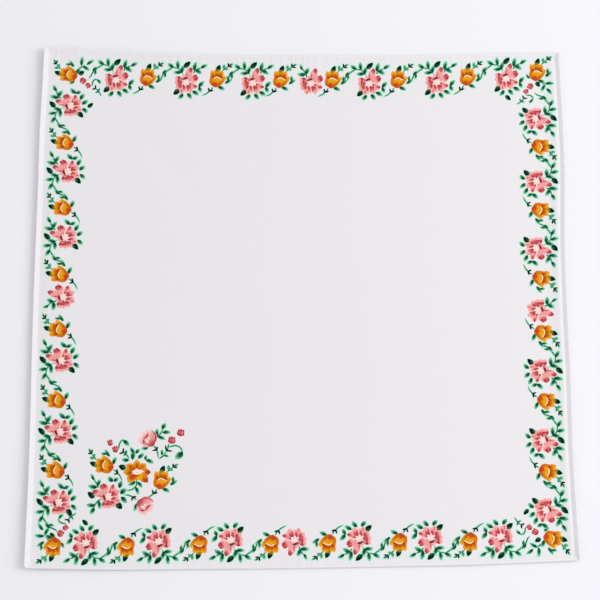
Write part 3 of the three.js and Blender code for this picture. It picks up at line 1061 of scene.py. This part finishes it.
def makePlainWeave():
    group = bpy.data.node_groups.new("plainWeave", "ShaderNodeTree")
    group.interface.new_socket("Place", in_out="INPUT", socket_type="NodeSocketVector")
    group.interface.new_socket("Threads per metre", in_out="INPUT", socket_type="NodeSocketFloat")
    for name in ("Height", "Slub", "Gap"):
        group.interface.new_socket(name, in_out="OUTPUT", socket_type="NodeSocketFloat")
    into = group.nodes.new("NodeGroupInput")
    out = group.nodes.new("NodeGroupOutput")
    place = into.outputs["Place"]
    axes = addNode(group, "ShaderNodeSeparateXYZ", {0: place})
    waves = []
    for axis in (0, 1):
        count = maths(group, "MULTIPLY", axes.outputs[axis], into.outputs["Threads per metre"])
        waves.append(maths(group, "SINE", maths(group, "MULTIPLY", count, math.pi)))
    acrossWarp, acrossWeft = (maths(group, "ABSOLUTE", wave) for wave in waves)
    warpOver = maths(group, "GREATER_THAN", maths(group, "MULTIPLY", *waves), 0.0)
    warp = maths(group, "MULTIPLY", maths(group, "POWER", acrossWarp, weave["round"]), acrossWeft)
    weft = maths(group, "MULTIPLY", maths(group, "POWER", acrossWeft, weave["round"]), acrossWarp)
    parts = {0: warpOver, 2: weft, 3: warp}
    crossing = addNode(group, "ShaderNodeMix", parts, data_type="FLOAT").outputs[0]
    slubs = [stretchedNoise(group, place, scale) for scale in weave["slubs"]]
    slub = maths(group, "MULTIPLY", maths(group, "ADD", *slubs), 0.5)
    height = maths(group, "MULTIPLY_ADD", crossing, weave["crossing"], slub)
    setInputs(group, out, {"Height": height, "Slub": slub, "Gap": maths(group, "SUBTRACT", 1.0, crossing)})
    return group


plainWeave = makePlainWeave()


def newMaterial(name):
    material = bpy.data.materials.new(name)
    material.use_nodes = True
    tree = material.node_tree
    return material, tree, tree.nodes["Principled BSDF"]


def bumped(tree, strength, distance, height):
    parts = {"Strength": strength, "Distance": distance, "Height": height}
    return addNode(tree, "ShaderNodeBump", parts)


def objectPlace(tree):
    return addNode(tree, "ShaderNodeTexCoord").outputs["Object"]


# Fine white cotton with the print dyed in
cotton = {
    "threads": 3400.0,               # per metre, a fine lawn
    "field": (0.782, 0.761, 0.778, 1),
    "dull": (0.768, 0.747, 0.764, 1),
    "hem": (0.786, 0.766, 0.781, 1),
    "slub": (0.35, 0.65),            # from dull to bright threads
    "roughness": (0.82, 0.96),       # on the threads, and in the gaps
    "relief": 0.25,
    "reliefDepth": 0.00012,          # metres
    "grain": (2600, 2600, 1),        # uneven take-up of the ink, per metre
    "grainRange": (0.25, 0.75, 0.9, 1.1),
    "folds": [(480, 40, 1), (40, 480, 1)],  # of the gathers, across the back and the sides, per metre
    "gather": 0.0006,                # metres
    "shine": {"Specular IOR Level": 0.06, "Sheen Weight": 0.02},
}


def printedCotton():
    material, tree, shader = newMaterial("printed_cotton")
    place = objectPlace(tree)
    threads = {"Place": place, "Threads per metre": cotton["threads"]}
    woven = addNode(tree, "ShaderNodeGroup", threads, node_tree=plainWeave)
    slub = spreadOver(tree, woven.outputs["Slub"], *cotton["slub"])
    ground = mixed(tree, slub, cotton["dull"], cotton["field"])
    hemShare = addNode(tree, "ShaderNodeAttribute", attribute_name="hem").outputs["Fac"]
    ground = mixed(tree, hemShare, ground, cotton["hem"])
    ink = addNode(tree, "ShaderNodeAttribute", attribute_name="ink")
    grain = stretchedNoise(tree, place, cotton["grain"], 1.0)
    worn = spreadOver(tree, grain, *cotton["grainRange"])
    dye = mixed(tree, 1.0, ink.outputs["Color"], worn, "MULTIPLY")
    colour = mixed(tree, ink.outputs["Alpha"], ground, dye)
    rough = spreadOver(tree, woven.outputs["Gap"], 0.0, 1.0, *cotton["roughness"])
    depth = addNode(tree, "ShaderNodeAttribute", attribute_name="gathers").outputs["Vector"]
    depths = addNode(tree, "ShaderNodeSeparateXYZ", {0: depth}).outputs
    folds = []
    for scale, depth in zip(cotton["folds"], depths):
        folds.append(maths(tree, "MULTIPLY", stretchedNoise(tree, place, scale, 1.0), depth))
    drawn = bumped(tree, 1.0, cotton["gather"], maths(tree, "ADD", *folds))
    relief = bumped(tree, cotton["relief"], cotton["reliefDepth"], woven.outputs["Height"])
    setInputs(tree, relief, {"Normal": drawn.outputs[0]})
    setInputs(tree, shader, {"Base Color": colour, "Roughness": rough, "Normal": relief.outputs[0]})
    setInputs(tree, shader, cotton["shine"])
    return material


# Sewing thread
thread = {
    "dull": (0.77, 0.755, 0.768, 1),
    "bright": (0.82, 0.805, 0.815, 1),
    "fibres": (5200, 5200, 5200),    # per metre
    "relief": 0.3,
    "reliefDepth": 0.00005,          # metres
    "roughness": 0.7,
}


def whiteThread():
    material, tree, shader = newMaterial("white_thread")
    fibre = stretchedNoise(tree, objectPlace(tree), thread["fibres"])
    colour = mixed(tree, fibre, thread["dull"], thread["bright"])
    relief = bumped(tree, thread["relief"], thread["reliefDepth"], fibre).outputs[0]
    setInputs(tree, shader, {"Base Color": colour, "Roughness": thread["roughness"], "Normal": relief})
    return material


# Table, light and surroundings
studio = {
    "tableReach": 4.0,  # metres
    "table": {"Base Color": (0.830, 0.819, 0.847, 1), "Roughness": 0.9, "Specular IOR Level": 0.15},
    "sky": {"Color": (0.98, 0.98, 1.0, 1), "Strength": 0.816},
    "lights": {  # place, size and power: one broad soft window of light from the right
        "right": ((1.30, 0.05, 0.95), 1.0, 13.5),
    },
}


def makeStudio():
    bm = bmesh.new()
    bmesh.ops.create_grid(bm, x_segments=1, y_segments=1, size=studio["tableReach"])
    mesh = bpy.data.meshes.new("table_top")
    bm.to_mesh(mesh)
    bm.free()
    table = placed("table_top", mesh)
    material, tree, shader = newMaterial("pale_table")
    setInputs(tree, shader, studio["table"])
    mesh.materials.append(material)
    world = bpy.data.worlds.new("studio")
    world.use_nodes = True
    setInputs(world.node_tree, world.node_tree.nodes["Background"], studio["sky"])
    scene.world = world
    for name, (at, size, power) in studio["lights"].items():
        lamp = bpy.data.lights.new(name + "_light", "AREA")
        lamp.size = size
        lamp.energy = power
        light = placed(name + "_light", lamp)
        light.location = at
        light.rotation_euler = (-Vector(at)).to_track_quat("-Z", "Y").to_euler()
    scene.view_settings.view_transform = "Standard"


handkerchief, sheetMiddle = makeCloth()
handkerchief.data.materials.append(printedCotton())
stitches = makeSeam(sheetMiddle)
stitches.data.materials.append(whiteThread())
makeStudio()
print("materials and light set")

for piece in (handkerchief, stitches):
    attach(piece, "root")
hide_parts("cloth")
